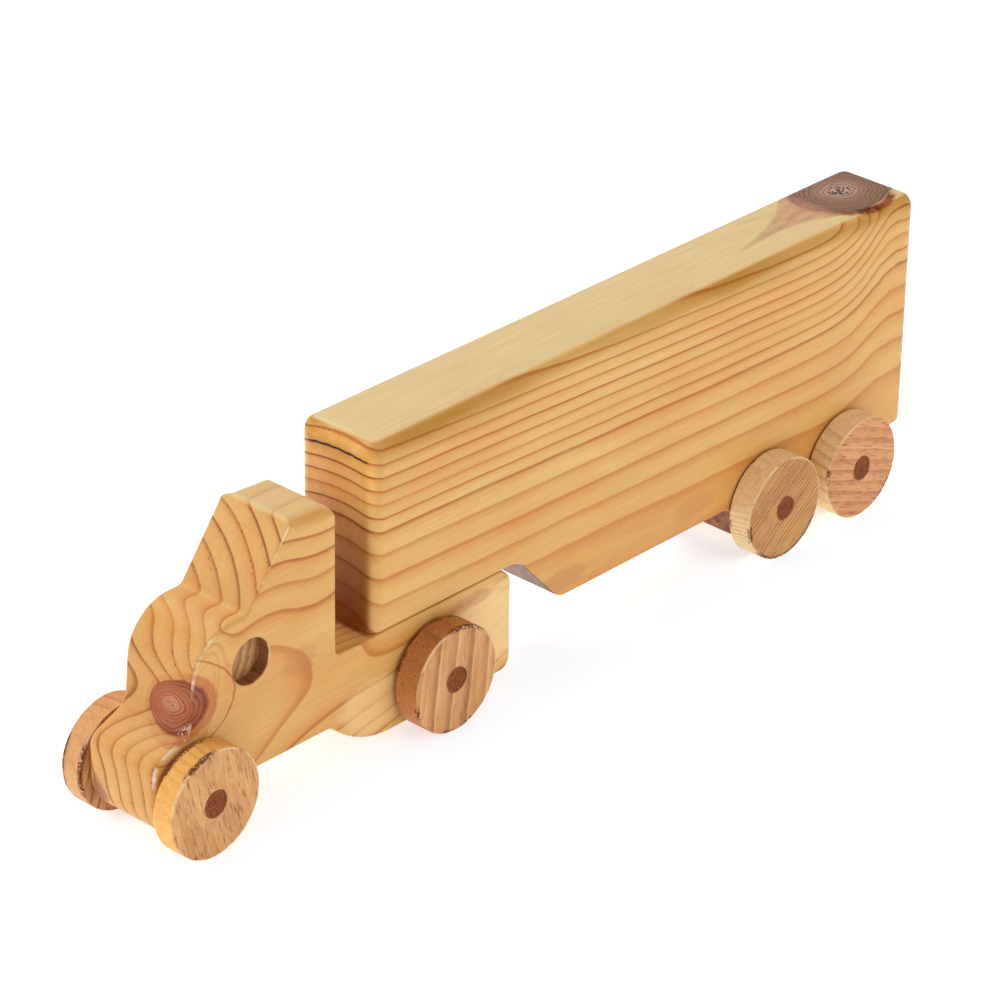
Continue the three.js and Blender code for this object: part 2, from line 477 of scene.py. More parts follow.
class Shader:
    """A material under construction, over the surface point's place in millimetres."""

    def __init__(self, name, centre=(0, 0, 0)):
        self.material = bpy.data.materials.new(name)
        self.material.use_nodes = True
        self.tree = self.material.node_tree
        self.tree.nodes.clear()
        place = self.tree.nodes.new("ShaderNodeTexCoord")
        self.normal = Field(self.tree, place.outputs["Normal"])
        start = Vector(centre) + Vector((TAIL, 0, 0))
        self.point = self.vector("MULTIPLY_ADD", Field(self.tree, place.outputs["Object"]),
                                 (1 / MM,) * 3, tuple(-start))
        self.x = self.along((1, 0, 0))
        self.y = self.along((0, 1, 0))
        self.z = self.along((0, 0, 1))

    def vector(self, operation, *values):
        """A Vector Math node's result."""
        node = self.tree.nodes.new("ShaderNodeVectorMath")
        node.operation = operation
        fill(self.tree, node.inputs, values)
        output = "Value" if operation in ("DOT_PRODUCT", "LENGTH", "DISTANCE") else "Vector"
        return Field(self.tree, node.outputs[output])

    def stretched(self, factors, point=None):
        """The point with each coordinate multiplied, so that noise over it is drawn out."""
        return self.vector("MULTIPLY", point or self.point, factors)

    def along(self, direction, point=None):
        """How far the point lies along a direction."""
        return self.vector("DOT_PRODUCT", point or self.point, direction)

    def facing(self, direction):
        """From 0 where the surface lies along a direction to 1 where it faces straight along it,
        either way."""
        return self.vector("DOT_PRODUCT", self.normal, direction).math("ABSOLUTE")

    def join(self, x, y, z):
        """A vector from its three coordinates."""
        node = self.tree.nodes.new("ShaderNodeCombineXYZ")
        fill(self.tree, node.inputs, (x, y, z))
        return Field(self.tree, node.outputs[0])

    def noise(self, point, scale=1, detail=2, seed=0.0):
        """Smooth noise around 0, in [-1, 1], over a point that may be stretched beforehand."""
        node = self.tree.nodes.new("ShaderNodeTexNoise")
        node.noise_dimensions = "4D"
        node.inputs["W"].default_value = seed
        node.inputs["Scale"].default_value = scale
        node.inputs["Detail"].default_value = detail
        self.tree.links.new(point.socket, node.inputs["Vector"])
        return Field(self.tree, node.outputs["Fac"]) * 2 - 1

    def cells(self, point, scale, seed=0.0):
        """The distance to the nearest of many scattered spots, for pores and pits."""
        node = self.tree.nodes.new("ShaderNodeTexVoronoi")
        node.voronoi_dimensions = "4D"
        node.inputs["W"].default_value = seed
        node.inputs["Scale"].default_value = scale
        self.tree.links.new(point.socket, node.inputs["Vector"])
        return Field(self.tree, node.outputs["Distance"])

    def random(self, value):
        """A different number from 0 to 1 for each whole number."""
        node = self.tree.nodes.new("ShaderNodeTexWhiteNoise")
        node.noise_dimensions = "1D"
        self.tree.links.new(value.socket, node.inputs["W"])
        return Field(self.tree, node.outputs["Value"])

    def blend(self, colour, other, share):
        """Mixes a share of another colour into a colour."""
        node = self.tree.nodes.new("ShaderNodeMix")
        node.data_type = "RGBA"
        colours = (with_alpha(colour), with_alpha(other))
        # A Mix node has several inputs called A and B, and only these two take colours.
        first, second = node.inputs[6:8]
        fill(self.tree, (node.inputs["Factor"], first, second), (share, *colours))
        return Field(self.tree, node.outputs[2])

    def shade(self, colour, factor):
        """Makes a colour lighter or darker by a factor."""
        return self.vector("SCALE", colour, None, None, factor)

    def finish(self, colour, roughness, height, depth, coat):
        """Joins everything into one surface; one unit of height stands depth millimetres out."""
        nodes = self.tree.nodes
        surface = nodes.new("ShaderNodeBsdfPrincipled")
        output = nodes.new("ShaderNodeOutputMaterial")
        bump = nodes.new("ShaderNodeBump")
        bump.inputs["Distance"].default_value = depth * MM
        self.tree.links.new(height.socket, bump.inputs["Height"])
        self.tree.links.new(bump.outputs["Normal"], surface.inputs["Normal"])
        self.tree.links.new(colour.socket, surface.inputs["Base Color"])
        self.tree.links.new(roughness.socket, surface.inputs["Roughness"])
        surface.inputs["Specular IOR Level"].default_value = SHEEN
        surface.inputs["Coat Weight"].default_value = coat
        surface.inputs["Coat Roughness"].default_value = COAT_ROUGHNESS
        self.tree.links.new(surface.outputs[0], output.inputs["Surface"])
        return self.material


def with_alpha(colour):
    """A constant colour as a socket takes it; a field stays as it is."""
    return (*colour, 1) if isinstance(colour, tuple) else colour


# -------------------------------- pine

GOLD = srgb(228, 182, 108)
HONEY = srgb(216, 142, 66)
OCHRE = srgb(188, 132, 46)
LATEWOOD = srgb(164, 72, 16)
SAPWOOD = srgb(224, 197, 143)
END_GRAIN = srgb(200, 124, 34)
BARE = srgb(255, 232, 196)
BLUSH = srgb(188, 112, 66)
PORE = srgb(78, 34, 12)
CHARRED = srgb(34, 14, 8)
END_LATEWOOD = srgb(106, 42, 12)

# Stains on the trailer and the tractor, painted light and shade, and the torn wood in the
# tractor's windows.
BURNT = srgb(150, 62, 10)
FLAME = srgb(192, 134, 104)
# Painted shade for the trailer's front, low down in the gap behind the cab.
GAP_SHADE = srgb(112, 36, 0)
# Painted shade for the trailer's faces that look down under its nose.
UNDERSIDE_SHADE = srgb(112, 46, 10)
KNOT_GLOW = srgb(206, 130, 66)
BUMPER_SPOT = srgb(150, 80, 48)
# Partly the bed's pale wood, partly painted light on the bed's shaded side.
PALE_AND_PAINTED_LIGHT = srgb(250, 210, 146)
# The torn floor of a window recess: partly its own colour, partly painted shade.
TORN_DEEP = srgb(186, 130, 76)
TORN_HIGH = srgb(222, 172, 116)
DRILL_ARC = srgb(82, 42, 18)
# Painted shade on the walls of the window recesses.
SHADED_DRILL_WALL = srgb(132, 80, 42)

# Growth rings run round a pith line. It is given where it crosses the plane at the tail, with
# its drift to the left and its rise per millimetre forward. A ring lies at radius "first"; rings
# are "inner" apart below radius "change" and "outer" apart above it. Taper is the share by which
# the rings narrow per millimetre towards the tail. Above the height "sapwood" the wood is pale.
# The lines wander, and are faint inside the radius "faint". The end grain is darkened by the oil
# it soaked up.
NO_SAPWOOD = 500  # a height above the whole lorry
Growth = namedtuple("Growth", "pith_y drift pith_z rise first inner outer change taper sapwood "
                              "wander faint oiled")
TRAILER_GROWTH = Growth(
    pith_y=2, drift=0, pith_z=40, rise=0, first=36.9, inner=10.6, outer=6.15, change=68.7,
    taper=0.0005, sapwood=145.5, wander=2.4, faint=60, oiled=0.1,
)
TRACTOR_GROWTH = Growth(
    pith_y=27.5, drift=-0.167, pith_z=185.3, rise=-0.341, first=55.4, inner=5.36, outer=5.36,
    change=0, taper=0, sapwood=NO_SAPWOOD, wander=0.3, faint=10, oiled=0.2,
)

# Round a branch the rings bulge outwards, so a point there counts as nearer to the pith: by a
# "wide" share that fades over its reach, and a "close" share right at the branch. The two
# "across" directions measure the distance from the branch's line. Each swell has a centre, a
# reach, and the share of one ring by which it moves the rings in.
Bulge = namedtuple("Bulge", "centre across wide reach close close_reach swells")
TRAILER_BULGE = Bulge(
    centre=(5, 0, 0), across=((1, 0, 0), (0, 0.2, 0)), wide=0.24, reach=33, close=0,
    close_reach=1, swells=(),
)
TRACTOR_BULGE = Bulge(
    centre=(458.3, 6, 72.8), across=((1.49, -0.07, 0), (1.03, 0.1, 1)), wide=0.274, reach=99,
    close=0.249, close_reach=15.6,
    swells=(((376, 20, 58), 18, 0.55), ((446, 20, 44), 14, 0.16)),
)

# A knot is a cone round its branch: its radius at the centre grows outwards along the branch.
# Its own rings are "rings" to a radius. The wood is stained out to "stained" radii, and with
# loop=1 one growth ring loops round the knot where the branch comes out.
LOOP = 1.72  # the looping ring's distance from the branch, as a share of the knot's radius
LOOP_CLEAR = 2.2  # the other rings stay this far off
Knot = namedtuple("Knot", "centre across outward radius growth dark middle light halo rings "
                          "cracked stained loop")
TRAILER_KNOT = Knot(
    centre=(25, -5, 146.5), across=((0.87, 0, 0), (0, 1, 0)), outward=(0, 0, 1),
    radius=21.9, growth=0.16, dark=srgb(92, 58, 42), middle=srgb(150, 112, 88),
    light=srgb(196, 164, 138), halo=srgb(180, 118, 80), rings=10, cracked=0.95, stained=1.12,
    loop=0,
)
TRACTOR_KNOT = Knot(
    centre=(464.8, 8, 62.7), across=((0.541, -0.634, 0), (-0.083, -0.243, 0.91)),
    outward=(0, 1, 0), radius=10, growth=0.171, dark=srgb(122, 46, 14),
    middle=srgb(180, 100, 58), light=srgb(214, 150, 102), halo=srgb(184, 92, 46), rings=8,
    cracked=0.12, stained=1.3, loop=1,
)

# Round the trailer's knot, in millimetres from its branch, and in the trailer's front, the
# radius of the ring along which the wood has split.
BURNT_FROM, BURNT_TO = 21.6, 27
SPLIT_FROM, SPLIT_TO = 22.3, 24.1
SHAKE_RADIUS = 98.9


def distance_from(shader, centre, across):
    """The distance from a line through a centre, which two directions across it measure."""
    offset = shader.vector("SUBTRACT", shader.point, centre)
    first, second = (shader.along(direction, offset) for direction in across)
    return first.length_with(second)


def ring_count(shader, growth, bulge):
    """How many growth rings lie inside each point, its radius in the tree, and its height."""
    y = shader.along((-growth.drift, 1, 0)) - growth.pith_y
    z = shader.along((-growth.rise, 0, 1)) - growth.pith_z
    distance = distance_from(shader, bulge.centre, bulge.across)
    near = ((distance / bulge.reach) ** 4 + 1) ** -1
    close = ((distance / bulge.close_reach) ** 4 + 1) ** -1
    slow = shader.noise(shader.stretched((0.004, 0.014, 0.014)), seed=1.7)
    quick = shader.noise(shader.stretched((0.03, 0.05, 0.05)), seed=4.2)
    kinks = shader.noise(shader.point, 0.07, seed=2.6)
    pulled = near * -bulge.wide - close * bulge.close + 1
    radius = y.length_with(z) * pulled
    height = shader.z + slow
    taper = (-shader.x + TRAILER_LENGTH) * growth.taper + 1
    bend = near * bulge.wide * growth.wander
    radius = radius * taper + (slow + quick * 0.25) * growth.wander + kinks * bend * 5
    count = (radius - growth.first) / growth.inner
    for centre, reach, amount in bulge.swells:
        away = shader.vector("DISTANCE", shader.point, centre)
        count = count + ((away / reach) ** 4 + 1) ** -1 * amount
    extra = 1 / growth.outer - 1 / growth.inner
    return count + (radius - growth.change).math("MAXIMUM", 0) * extra, radius, height


def knot_share(shader, knot):
    """The distance from a knot's branch as a share of its radius, and how far out it lies."""
    distance = distance_from(shader, knot.centre, knot.across)
    out = shader.along(knot.outward, shader.vector("SUBTRACT", shader.point, knot.centre))
    return distance / (out * knot.growth + knot.radius).math("MAXIMUM", 0.8), out


def inside_loop(shader, knot):
    """From 0 to 1 in the clear wood round a knot that one ring loops round."""
    share, out = knot_share(shader, knot)
    return share.ramp(LOOP_CLEAR, LOOP_CLEAR - 0.15) * out.ramp(9.5, 11.5) * knot.loop


def knot_heart(shader, knot, share, out, streaks):
    """A knot's own wood: its colour, and the dark lines of its rings."""
    count = share * knot.rings + shader.noise(shader.point, 0.16, seed=1.1) * 0.9
    ring = count.math("FRACT")
    line = ring.ramp(0.3, 0.85) * ring.ramp(1.0, 0.9)
    weight = shader.random(count.math("FLOOR")) * 0.6 + 0.4
    side = out.ramp(-8, 10)
    heart = shader.blend(knot.light, knot.middle, share.ramp(0.1, 0.55))
    heart = shader.blend(heart, knot.dark, share.ramp(0.5, 1.0) * side * 0.5)
    heart = shader.blend(heart, knot.dark, line * weight * (side * 0.4 + 0.5))
    return shader.shade(heart, streaks * 0.4 + 1), line


def knot_paint(shader, knot, colour):
    """Paints the stained wood round a knot, its heart, its bark and the cracks in its middle."""
    share, out = knot_share(shader, knot)
    wobble = shader.noise(shader.point, 0.07, seed=8.1) * 0.12
    fine = shader.noise(shader.point, 0.5, seed=3.3) * 0.03
    share = share + wobble + fine
    streaks = shader.noise(shader.point, 1.3, detail=3, seed=5.5)
    heart, line = knot_heart(shader, knot, share, out, streaks)

    halo = share.ramp(knot.stained + 0.05, knot.stained - 0.04) * (streaks * 0.5 + 0.7)
    colour = shader.blend(colour, knot.halo, halo * (out.ramp(3, 12) * 0.6 + 0.4))
    loop = (share - LOOP).math("ABSOLUTE").ramp(0.04, 0.01) * out.ramp(9.5, 11.5)
    colour = shader.blend(colour, LATEWOOD, loop * knot.loop * 0.8)
    colour = shader.blend(colour, heart, share.ramp(1.05, 0.97))
    bark = share.ramp(0.9, 0.99) * share.ramp(1.1, 1.01)
    bark = bark * (streaks * 0.5 + 0.25 + out.ramp(-8, 10) * 0.4)
    colour = shader.blend(colour, knot.dark, bark)
    web = shader.noise(shader.point, 0.42, detail=1, seed=9.4).math("ABSOLUTE").ramp(0.12, 0.05)
    crack = web * share.ramp(0.28, 0.16)
    colour = shader.blend(colour, CHARRED, crack * knot.cracked)
    return colour, crack, line * share.ramp(1.0, 0.95)


def patch(shader, centre, reach, seed, roughness=0.35):
    """A ragged soft spot, from 1 at its centre to 0 at its reach along x, y and z."""
    offset = shader.vector("SUBTRACT", shader.point, centre)
    distance = shader.vector("LENGTH", shader.vector("DIVIDE", offset, reach))
    ragged = shader.noise(shader.stretched((0.09, 0.22, 0.22)), 1, detail=4, seed=seed)
    return (distance + ragged * roughness).ramp(1.05, 0.6)


def tongue(shader, start, slope, width, length):
    """A stain that narrows from its start, an (x, y), to a tip ahead of it."""
    ahead = shader.x - start[0]
    aside = shader.along((-slope, 1, 0)) - (start[1] - slope * start[0])
    share = ahead / length
    half = share.complement().math("MAXIMUM", 0) ** 3 * width + 0.8
    return (aside.math("ABSOLUTE") - half).ramp(1.6, -1.2) * share.ramp(1, 0.7) * ahead.ramp(-6, 0)


def beside_trailer_knot(shader, colour, ragged):
    """The burnt rim, the flame-shaped stain and the split round the trailer's knot."""
    from_knot = shader.vector("SUBTRACT", shader.point, TRAILER_KNOT.centre)
    distance = distance_from(shader, TRAILER_KNOT.centre, TRAILER_KNOT.across)
    top = shader.z.ramp(124, 140)
    near_side = (shader.along((0.15, 1, 0), from_knot) / distance).ramp(0.6, 0.9)
    rim = (distance + ragged * 2).ramp(BURNT_FROM, BURNT_FROM + 1)
    rim = rim * (distance + ragged * 3).ramp(BURNT_TO, BURNT_TO - 2.5)
    burnt = rim * near_side * top
    colour = shader.blend(colour, BURNT, burnt * 0.9)
    soot = shader.noise(shader.point, 0.25, 3, 6.6).ramp(-0.1, 0.2)
    colour = shader.blend(colour, CHARRED, burnt * soot * 0.75)

    flame = tongue(shader, start=(48, -4.7), slope=0.18, width=16, length=68)
    prong = tongue(shader, start=(58, -8.4), slope=-0.2, width=2, length=34) * 0.4
    flame = flame.math("MAXIMUM", prong) * top * (ragged * 0.7 + 0.6)
    colour = shader.blend(colour, FLAME, flame)

    toward_tail = (shader.along((-0.75, 0.66, 0), from_knot) / distance).ramp(1.07, 1.083)
    split = distance.ramp(SPLIT_FROM, SPLIT_FROM + 0.4) * distance.ramp(SPLIT_TO, SPLIT_TO - 0.5)
    return colour, split * toward_tail * top


def trailer_front(shader, colour, radius, ragged):
    """The trailer's front: painted light at the top, painted shade lower down in the gap behind
    the cab, and split along a ring.
    """
    front = shader.x.ramp(TRAILER_LENGTH - 4, TRAILER_LENGTH - 1)
    # Painted light: the front is lightened towards its top.
    painted_top_light = front * shader.z.ramp(95, 135)
    colour = shader.shade(colour, painted_top_light * 0.32 + 1)
    # Painted shade: the front is darkened towards its bottom, in the gap behind the cab.
    painted_gap_shade = shader.z.ramp(124, 60) * shader.facing((1, 0, 0)).ramp(0.75, 1)
    colour = shader.blend(colour, GAP_SHADE, painted_gap_shade * front * 0.8)
    middle = (shader.y + ragged * 8).math("ABSOLUTE").ramp(19, 14)
    shake = (radius - SHAKE_RADIUS + ragged * 0.8).math("ABSOLUTE").ramp(0.7, 0.3)
    return colour, shake * front * middle


def trailer_marks(shader, colour, radius):
    """The trailer's marks by its knot, on its side and on its front, with painted light and shade
    on its front and painted shade under its nose.
    """
    ragged = shader.noise(shader.stretched((0.1, 0.3, 0.2)), 1, 4, 3.1)
    colour, split = beside_trailer_knot(shader, colour, ragged)
    step = patch(shader, (243, 22, 37), (20, 4, 7), 5.2)
    feather = patch(shader, (154, 22, 40), (17, 4, 6), 4.4)
    colour = shader.blend(colour, BLUSH, step * 0.4 + feather * 0.25)
    colour, shake = trailer_front(shader, colour, radius, ragged)
    # Painted shade: faces that look down and forward, under the nose, are darkened.
    under = shader.along((0.7, 0, -0.7), shader.normal).ramp(0.6, 0.95)
    colour = shader.blend(colour, UNDERSIDE_SHADE, under * (ragged * 0.8 + 0.85))
    crack = split.math("MAXIMUM", shake)
    return shader.blend(colour, CHARRED, crack * 0.95), crack


def drilled(shader, colour):
    """The window's drilled recess: fibres torn in arcs across its floor, darker than the face,
    partly their own colour and partly painted shade.
    """
    offset = shader.vector("SUBTRACT", shader.point, (WINDOW["u"], 0, WINDOW["v"]))
    out = shader.along((1, 0, 0), offset).length_with(shader.along((0, 0, 1), offset))
    across = shader.y.math("ABSOLUTE")
    face = TRACTOR_WIDTH / 2
    inside = out.ramp(WINDOW["radius"] + 0.7, WINDOW["radius"] + 0.2)
    inside = inside * across.ramp(face - 0.1, face - 0.5)
    streaks = shader.noise(shader.stretched((1.6, 0.3, 0.35)), 1, 4, 2.2)
    ahead = shader.along((1, 0, 0), offset) - 30
    bow = ahead.length_with(shader.along((0, 0, 1), offset) - 8) / 4.6
    arcs = (bow + streaks * 0.4).math("FRACT")
    arcs = arcs.ramp(0.35, 0.8) * arcs.ramp(1.0, 0.88)
    # The floor is darker than the face: partly the torn fibres' colour, partly painted shade in
    # the recess.
    torn = shader.blend(TORN_DEEP, TORN_HIGH, streaks * 1.4 + 0.4)
    torn = shader.blend(torn, DRILL_ARC, arcs * (streaks * 0.6 + 0.4))
    # Painted shade: the recess's wall is darkened.
    wall = across.ramp(face - WINDOW["depth"] + 0.1, face - WINDOW["depth"] + 0.7)
    torn = shader.blend(torn, SHADED_DRILL_WALL, wall * (streaks + 0.7))
    return shader.blend(colour, torn, inside), inside * (arcs + streaks)


def tractor_stains(shader, colour, share):
    """The glow round the tractor's knot, its stains, a pale skirt on the bed that is partly
    painted light, and painted light on the roof.
    """
    glow = share.ramp(6.5, 1.5) * share.ramp(1.0, 1.25)
    colour = shader.blend(colour, KNOT_GLOW, glow * 0.2)
    spot = patch(shader, (486, -15, 17), (6, 6, 12), 3.3)
    colour = shader.blend(colour, BUMPER_SPOT, spot * 0.8)
    smudge = patch(shader, (402, 20, 62), (11, 3, 8), 8.4, roughness=0.9)
    colour = shader.blend(colour, BLUSH, smudge * 0.3)
    # Partly pale wood, partly painted light that brightens the bed's side where it lies in shade.
    pale_and_painted_light = patch(shader, (288, 20, 30), (36, 4, 24), 1.9)
    pale_and_painted_light = pale_and_painted_light.math("MAXIMUM", patch(shader, (356, 20, 22), (26, 4, 16), 9.2) * 0.6)
    colour = shader.blend(colour, PALE_AND_PAINTED_LIGHT, pale_and_painted_light * 0.85)
    # Painted light: the roof's upward faces are blended towards the pale sapwood colour.
    upward = shader.along((0, 0, 1), shader.normal).ramp(0.7, 1)
    painted_roof_light = upward * shader.z.ramp(115, 122)
    colour = shader.blend(colour, SAPWOOD, painted_roof_light * 0.65)
    bed = patch(shader, (299, 20, 48), (18, 3, 4.5), 6.3, roughness=0.5)
    return shader.blend(colour, BLUSH, bed * 0.45)


def worn_and_highlit_edges(shader, colour, share):
    """The tractor's front edges, crumbled at the hood's corner, and worn pale with a painted
    highlight along them.
    """
    crumbs = patch(shader, (467, 19, 54), (3, 3, 4), 2.8, roughness=0.9)
    crumbs = crumbs * shader.noise(shader.point, 0.9, 2, 5.7).ramp(0.05, 0.3)
    colour = shader.blend(colour, BARE, crumbs * 0.8)
    # The pale line along the crisp front edges is partly wear, partly a painted highlight.
    tilt = shader.facing((0, 1, 0))
    forward = shader.along((1, 0, 0), shader.normal).ramp(0.1, 0.4)
    broken = shader.noise(shader.point, 0.13, detail=3, seed=7.7).ramp(-0.15, 0.25)
    worn_and_highlight = tilt.ramp(0.42, 0.6) * tilt.ramp(0.94, 0.82) * forward * broken
    worn_and_highlight = worn_and_highlight * (share.ramp(0.8, 1.2) * 0.7 + 0.3)
    return shader.blend(colour, BARE, worn_and_highlight * 0.8), worn_and_highlight


def tractor_marks(shader, colour, _radius):
    """The tractor's stains, painted light on its roof and in part on its bed, its drilled windows
    with painted shade in them, and its worn edges with a painted highlight.
    """
    share = knot_share(shader, TRACTOR_KNOT)[0]
    colour = tractor_stains(shader, colour, share)
    colour, torn = drilled(shader, colour)
    colour, worn_and_highlight = worn_and_highlit_edges(shader, colour, share)
    return colour, torn * 0.5 - worn_and_highlight * 0.3


def latewood(shader, growth, knot, count, radius):
    """The dark line that ends each ring, fainter towards the pith and gone round a looped knot."""
    ring = count.math("FRACT")
    weight = shader.random(count.math("FLOOR")) * 0.6 + 0.3
    weight = weight * (radius.ramp(growth.faint * 0.7, growth.faint * 1.4) * 0.4 + 0.6)
    line = ring.ramp(0.76, 0.95) * ring.ramp(1.0, 0.97) * weight
    return line * inside_loop(shader, knot).complement()


def body_pine(name, growth, bulge, knot, marks):
    """Sanded and oiled pine, cut from one tree: its rings run through all its faces."""
    shader = Shader(name)
    count, radius, level = ring_count(shader, growth, bulge)
    ring = count.math("FRACT")
    warm = ring.ramp(0.35, 0.97)
    sapwood = level.ramp(growth.sapwood, growth.sapwood + 0.9)
    golden = level.ramp(growth.sapwood - 16, growth.sapwood - 3) * sapwood.complement()
    fibres = shader.noise(shader.stretched((0.035, 1.2, 1.2)), 1, detail=4, seed=0.4)
    broad = shader.noise(shader.stretched((0.012, 0.06, 0.06)), seed=6.2)
    mottle = shader.noise(shader.point, 0.05, detail=3, seed=2.9)
    end = shader.facing((1, 0, 0)).ramp(0.5, 0.95)
    line = latewood(shader, growth, knot, count, radius)
    line = line * (sapwood * -0.85 + 1) * (fibres * 0.7 + 0.9)

    tone = broad * 0.5 + mottle * 0.3 + warm * 0.5 + 0.28
    colour = shader.blend(GOLD, HONEY, tone.math("MAXIMUM", 0).math("MINIMUM", 1))
    colour = shader.blend(colour, OCHRE, golden * (broad + 0.55))
    colour = shader.blend(colour, LATEWOOD, line)
    colour = shader.blend(colour, SAPWOOD, sapwood * 0.95)
    colour = shader.blend(colour, END_GRAIN, end * growth.oiled)
    colour = shader.blend(colour, END_LATEWOOD, end * line * 0.9)
    colour = shader.shade(colour, fibres * 0.17 + mottle * 0.06 + 1)
    pits = shader.cells(shader.stretched((0.3, 1, 1)), 0.75)
    clusters = ring.ramp(0.5, 0.9) * mottle.ramp(-0.25, 0.25)
    pores = pits.ramp(0.45, 0.2) * (end * clusters * 0.9 + warm * 0.1)
    colour = shader.blend(colour, PORE, pores)
    colour, crack, knot_line = knot_paint(shader, knot, colour)
    colour, scar = marks(shader, colour, radius)

    height = fibres * 0.3 - line * 0.4 - crack * 6 - scar * 5 - pores - knot_line * 0.6
    roughness = fibres * 0.06 + end * 0.08 + 0.4
    return shader.finish(colour, roughness, height, 0.08, coat=0.1)


# -------------------------------- wheels and dowels

# How a wheel was cut from its board: the grain's direction in its plane, the ring spacing, the
# colours of its face and of its tread, how strongly its rings and its torn fibres show, how
# the tread was finished, from 0 for smooth to 1 for rough and dark, and which way from the
# middle the rim has crumbled.
WheelCut = namedtuple("WheelCut", "grain spacing face tread lines torn rough crumbled")
TAN = srgb(224, 164, 104)
WHEAT = srgb(214, 158, 92)
ROSE = srgb(228, 160, 106)
PINK = srgb(255, 222, 168)
AMBER = srgb(240, 176, 90)
RUSSET = srgb(166, 94, 46)
UMBER = srgb(208, 138, 80)
RED_BROWN = srgb(112, 42, 16)
BROWN = srgb(128, 66, 26)
PALE_TEAR = srgb(246, 204, 150)
# Partly a worn rim, partly a painted highlight.
WORN_AND_HIGHLIT_RIM = srgb(248, 214, 166)
CRUMBLED = srgb(98, 34, 14)
DOWEL_SIDE = srgb(196, 138, 84)
DOWEL_END = srgb(142, 68, 22)
DOWEL_RING = srgb(98, 42, 16)
DOWEL_FLECK = srgb(206, 150, 98)
WHEEL_CUTS = {
    "front_left": WheelCut((0.25, 0, 0.97), 4.4, TAN, AMBER, 0.3, 1.0, 0.1, (0.3, 0, 0.95)),
    "front_right": WheelCut((0.35, 0, -0.94), 5, TAN, TAN, 1.0, 0.6, 0.5, (1, 0, 0.1)),
    "drive_left": WheelCut((-0.11, 0, 0.99), 10.5, TAN, UMBER, 0.65, 0.5, 1.0, (-0.3, 0, 0.95)),
    "drive_right": WheelCut((0.3, 0, 0.95), 8, TAN, UMBER, 0.7, 0.6, 0.8, (0.8, 0, 0.6)),
    "trailer_front_left": WheelCut(
        (-0.79, 0, 0.61), 2.1, WHEAT, PINK, 0.95, 0.6, 0.0, (0.4, 0, -0.92)),
    "trailer_front_right": WheelCut(
        (0.85, 0, 0.52), 2.6, WHEAT, PINK, 0.6, 0.7, 0.4, (-0.5, 0, -0.87)),
    "trailer_rear_left": WheelCut(
        (0.94, 0, 0.35), 5.2, ROSE, PINK, 0.45, 0.8, 0.0, (0, 0, 0)),
    "trailer_rear_right": WheelCut(
        (0.6, 0, 0.8), 4, ROSE, PINK, 0.6, 0.8, 0.3, (0.5, 0, 0.87)),
}


def sawn_face(shader, cut_of, board, ring, line, weight, fibres, seed):
    """A wheel's face: its rings and its torn fibres, with the height that they add."""
    broad = shader.noise(shader.stretched((0.03, 0.1, 0.1), board), 1, 2, seed + 6)
    ridge = ring.ramp(0.0, 0.04) * ring.ramp(0.16, 0.07) * weight.ramp(0.3, 0.6)
    dark_place = shader.stretched((0.14, 0.9, 0.5), board)
    dark_tears = shader.noise(dark_place, 1, 4, seed + 9).ramp(0.06, 0.4)
    light_place = shader.stretched((0.13, 1.2, 0.6), board)
    light_tears = shader.noise(light_place, 1, 4, seed + 13).ramp(0.08, 0.4)
    face = shader.blend(cut_of.face, RUSSET, broad * 0.8 + 0.2 + fibres * 0.6)
    face = shader.blend(face, BROWN, line * cut_of.lines * 0.85)
    face = shader.blend(face, RED_BROWN, dark_tears * cut_of.torn * 0.6)
    pale = (light_tears * cut_of.torn * 0.4).math("MAXIMUM", ridge * cut_of.lines * 0.5)
    face = shader.blend(face, PALE_TEAR, pale)
    return face, light_tears * 0.4 - dark_tears * cut_of.torn


def sawn_tread(shader, cut_of, line, end, rough, speckle):
    """A wheel's tread, speckled where it was left rough."""
    tread = shader.blend(cut_of.tread, RUSSET, line * cut_of.lines * 0.15)
    tread = shader.blend(tread, RED_BROWN, speckle.ramp(0.0, 0.5) * rough * 0.7)
    tread = shader.blend(tread, BARE, speckle.ramp(-0.2, -0.5) * rough * 0.5)
    return shader.blend(tread, RUSSET, line * end * 0.35)


def wheel_pine(name, cut_of, centre, radius, thickness, seed):
    """Band-sawn pine: torn fibres on the faces, and rings that run on across the tread."""
    shader = Shader(name, centre)
    grain = Vector(cut_of.grain).normalized()
    sideways = shader.along(tuple(grain.cross(Vector((0, 1, 0)))))
    lengthwise = shader.along(tuple(grain))
    board = shader.join(lengthwise, sideways, shader.y)
    wander = shader.noise(shader.stretched((0.03, 0.06, 0.06), board), seed=seed)
    count = (sideways + shader.y * 0.15 + wander * 1.6) / cut_of.spacing + 50
    ring = count.math("FRACT")
    weight = shader.random(count.math("FLOOR") + seed)
    line = ring.ramp(0.4, 0.92) * ring.ramp(1.0, 0.94) * (weight * 0.7 + 0.3)
    fibres = shader.noise(shader.stretched((0.12, 1.7, 0.6), board), 1, 4, seed + 3)
    speckle = shader.noise(board, 1.1, 4, seed + 17)
    flat = shader.facing((0, 1, 0)).ramp(0.5, 0.9)
    end = shader.facing(tuple(grain)).ramp(0.5, 0.95)
    rough = end * 0.1 + cut_of.rough

    face, tears = sawn_face(shader, cut_of, board, ring, line, weight, fibres, seed)
    tread = sawn_tread(shader, cut_of, line, end, rough, speckle)
    colour = shader.blend(tread, face, flat)
    pits = shader.cells(shader.stretched((0.3, 1, 1), board), 1.0, seed).ramp(0.3, 0.08)
    colour = shader.blend(colour, PORE, pits * (end * 0.1 + flat * 0.2))
    colour = shader.shade(colour, fibres * 0.32 + speckle * 0.16 + 1)
    colour, crumbs = rim_paint(shader, colour, radius, thickness, cut_of.crumbled, seed)

    height = fibres * 0.6 + tears - line * 0.3 - crumbs
    height = height - speckle * rough * flat.complement() * 0.8
    roughness = fibres * 0.08 + 0.52
    return shader.finish(colour, roughness, height, 0.16, coat=0.02)


